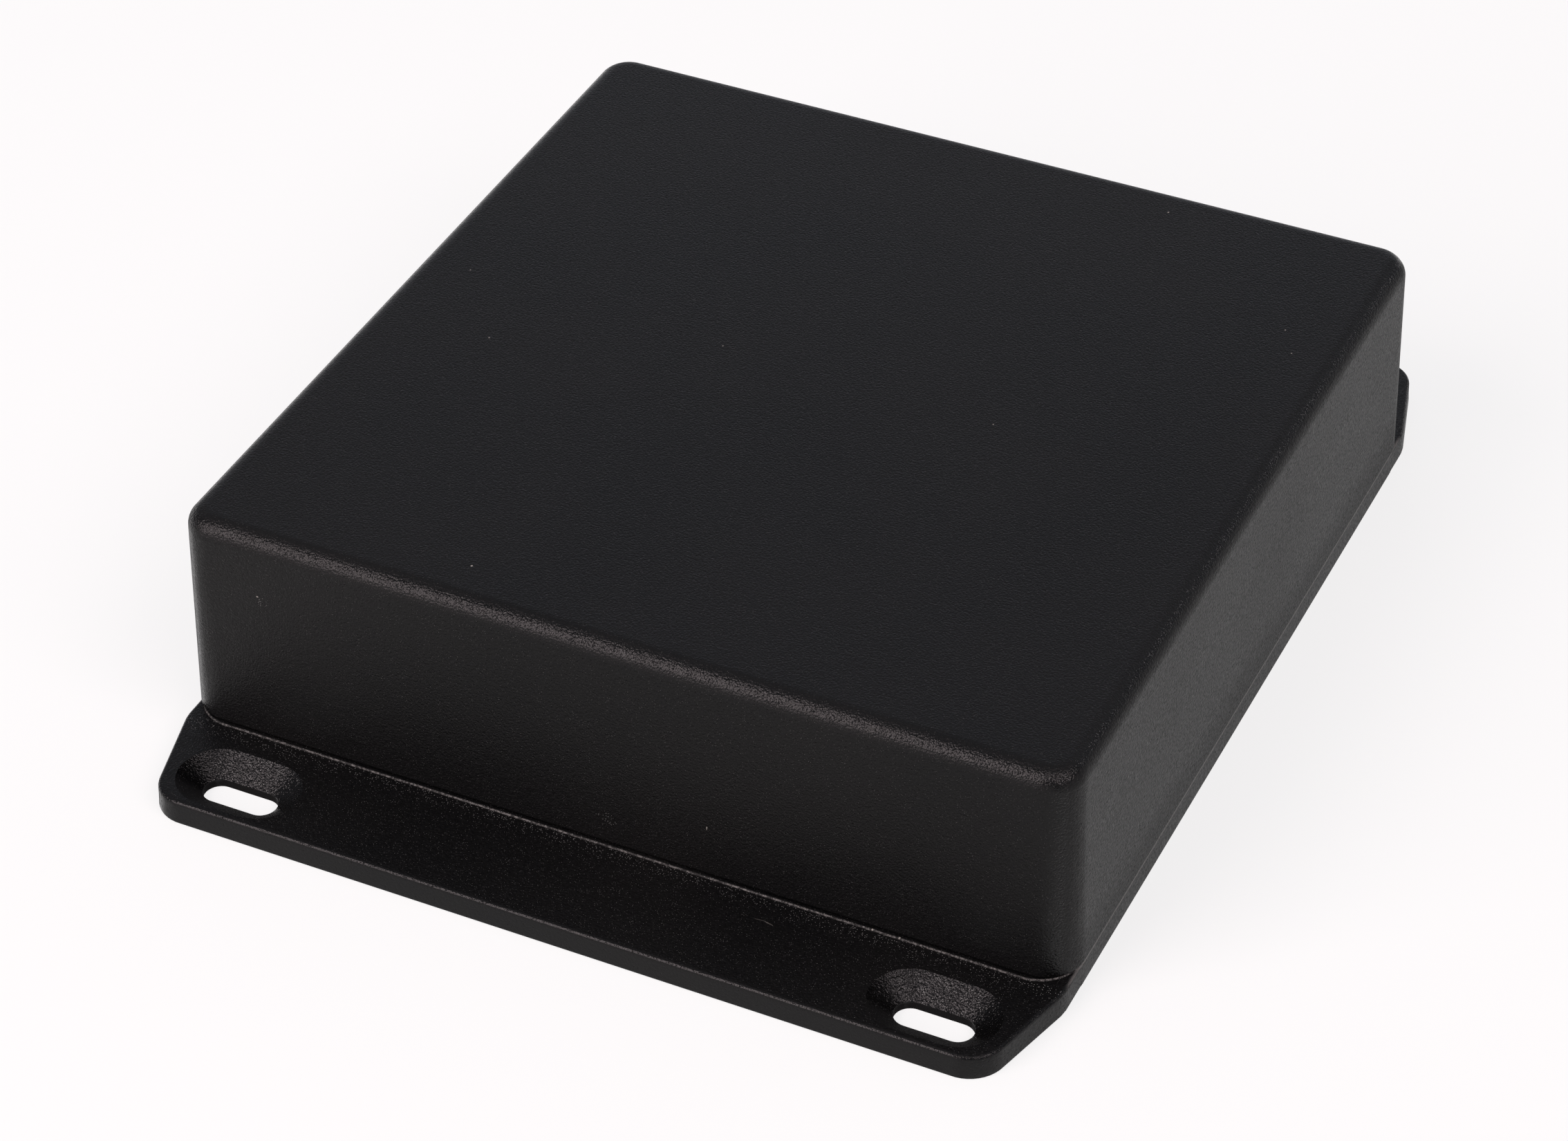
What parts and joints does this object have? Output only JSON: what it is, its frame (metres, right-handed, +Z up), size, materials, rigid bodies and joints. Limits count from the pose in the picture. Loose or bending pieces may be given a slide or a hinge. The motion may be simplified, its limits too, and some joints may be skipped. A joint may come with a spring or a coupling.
{
  "type": "die cast enclosure",
  "caption": "Square die cast aluminium enclosure, coated black, closed from below by a screwed lid whose flanges carry countersunk mounting slots.",
  "frame": {"origin": "centre of the lid's underside, on the surface that the enclosure is fixed to", "axes": "+X along the flanges' outer edges, +Y from the front flange to the back one, +Z up through the closed top"},
  "size_m": [0.12, 0.1512, 0.0342],
  "materials": {
    "black_coat": "satin powder coat with a fine grain on cast aluminium",
    "plated_steel": "bright zinc plate"
  },
  "bodies": {
    "root": {"enclosure_body": "black_coat", "flanged_lid": "black_coat", "lid_screws": "plated_steel"}
  },
  "joints": []
}
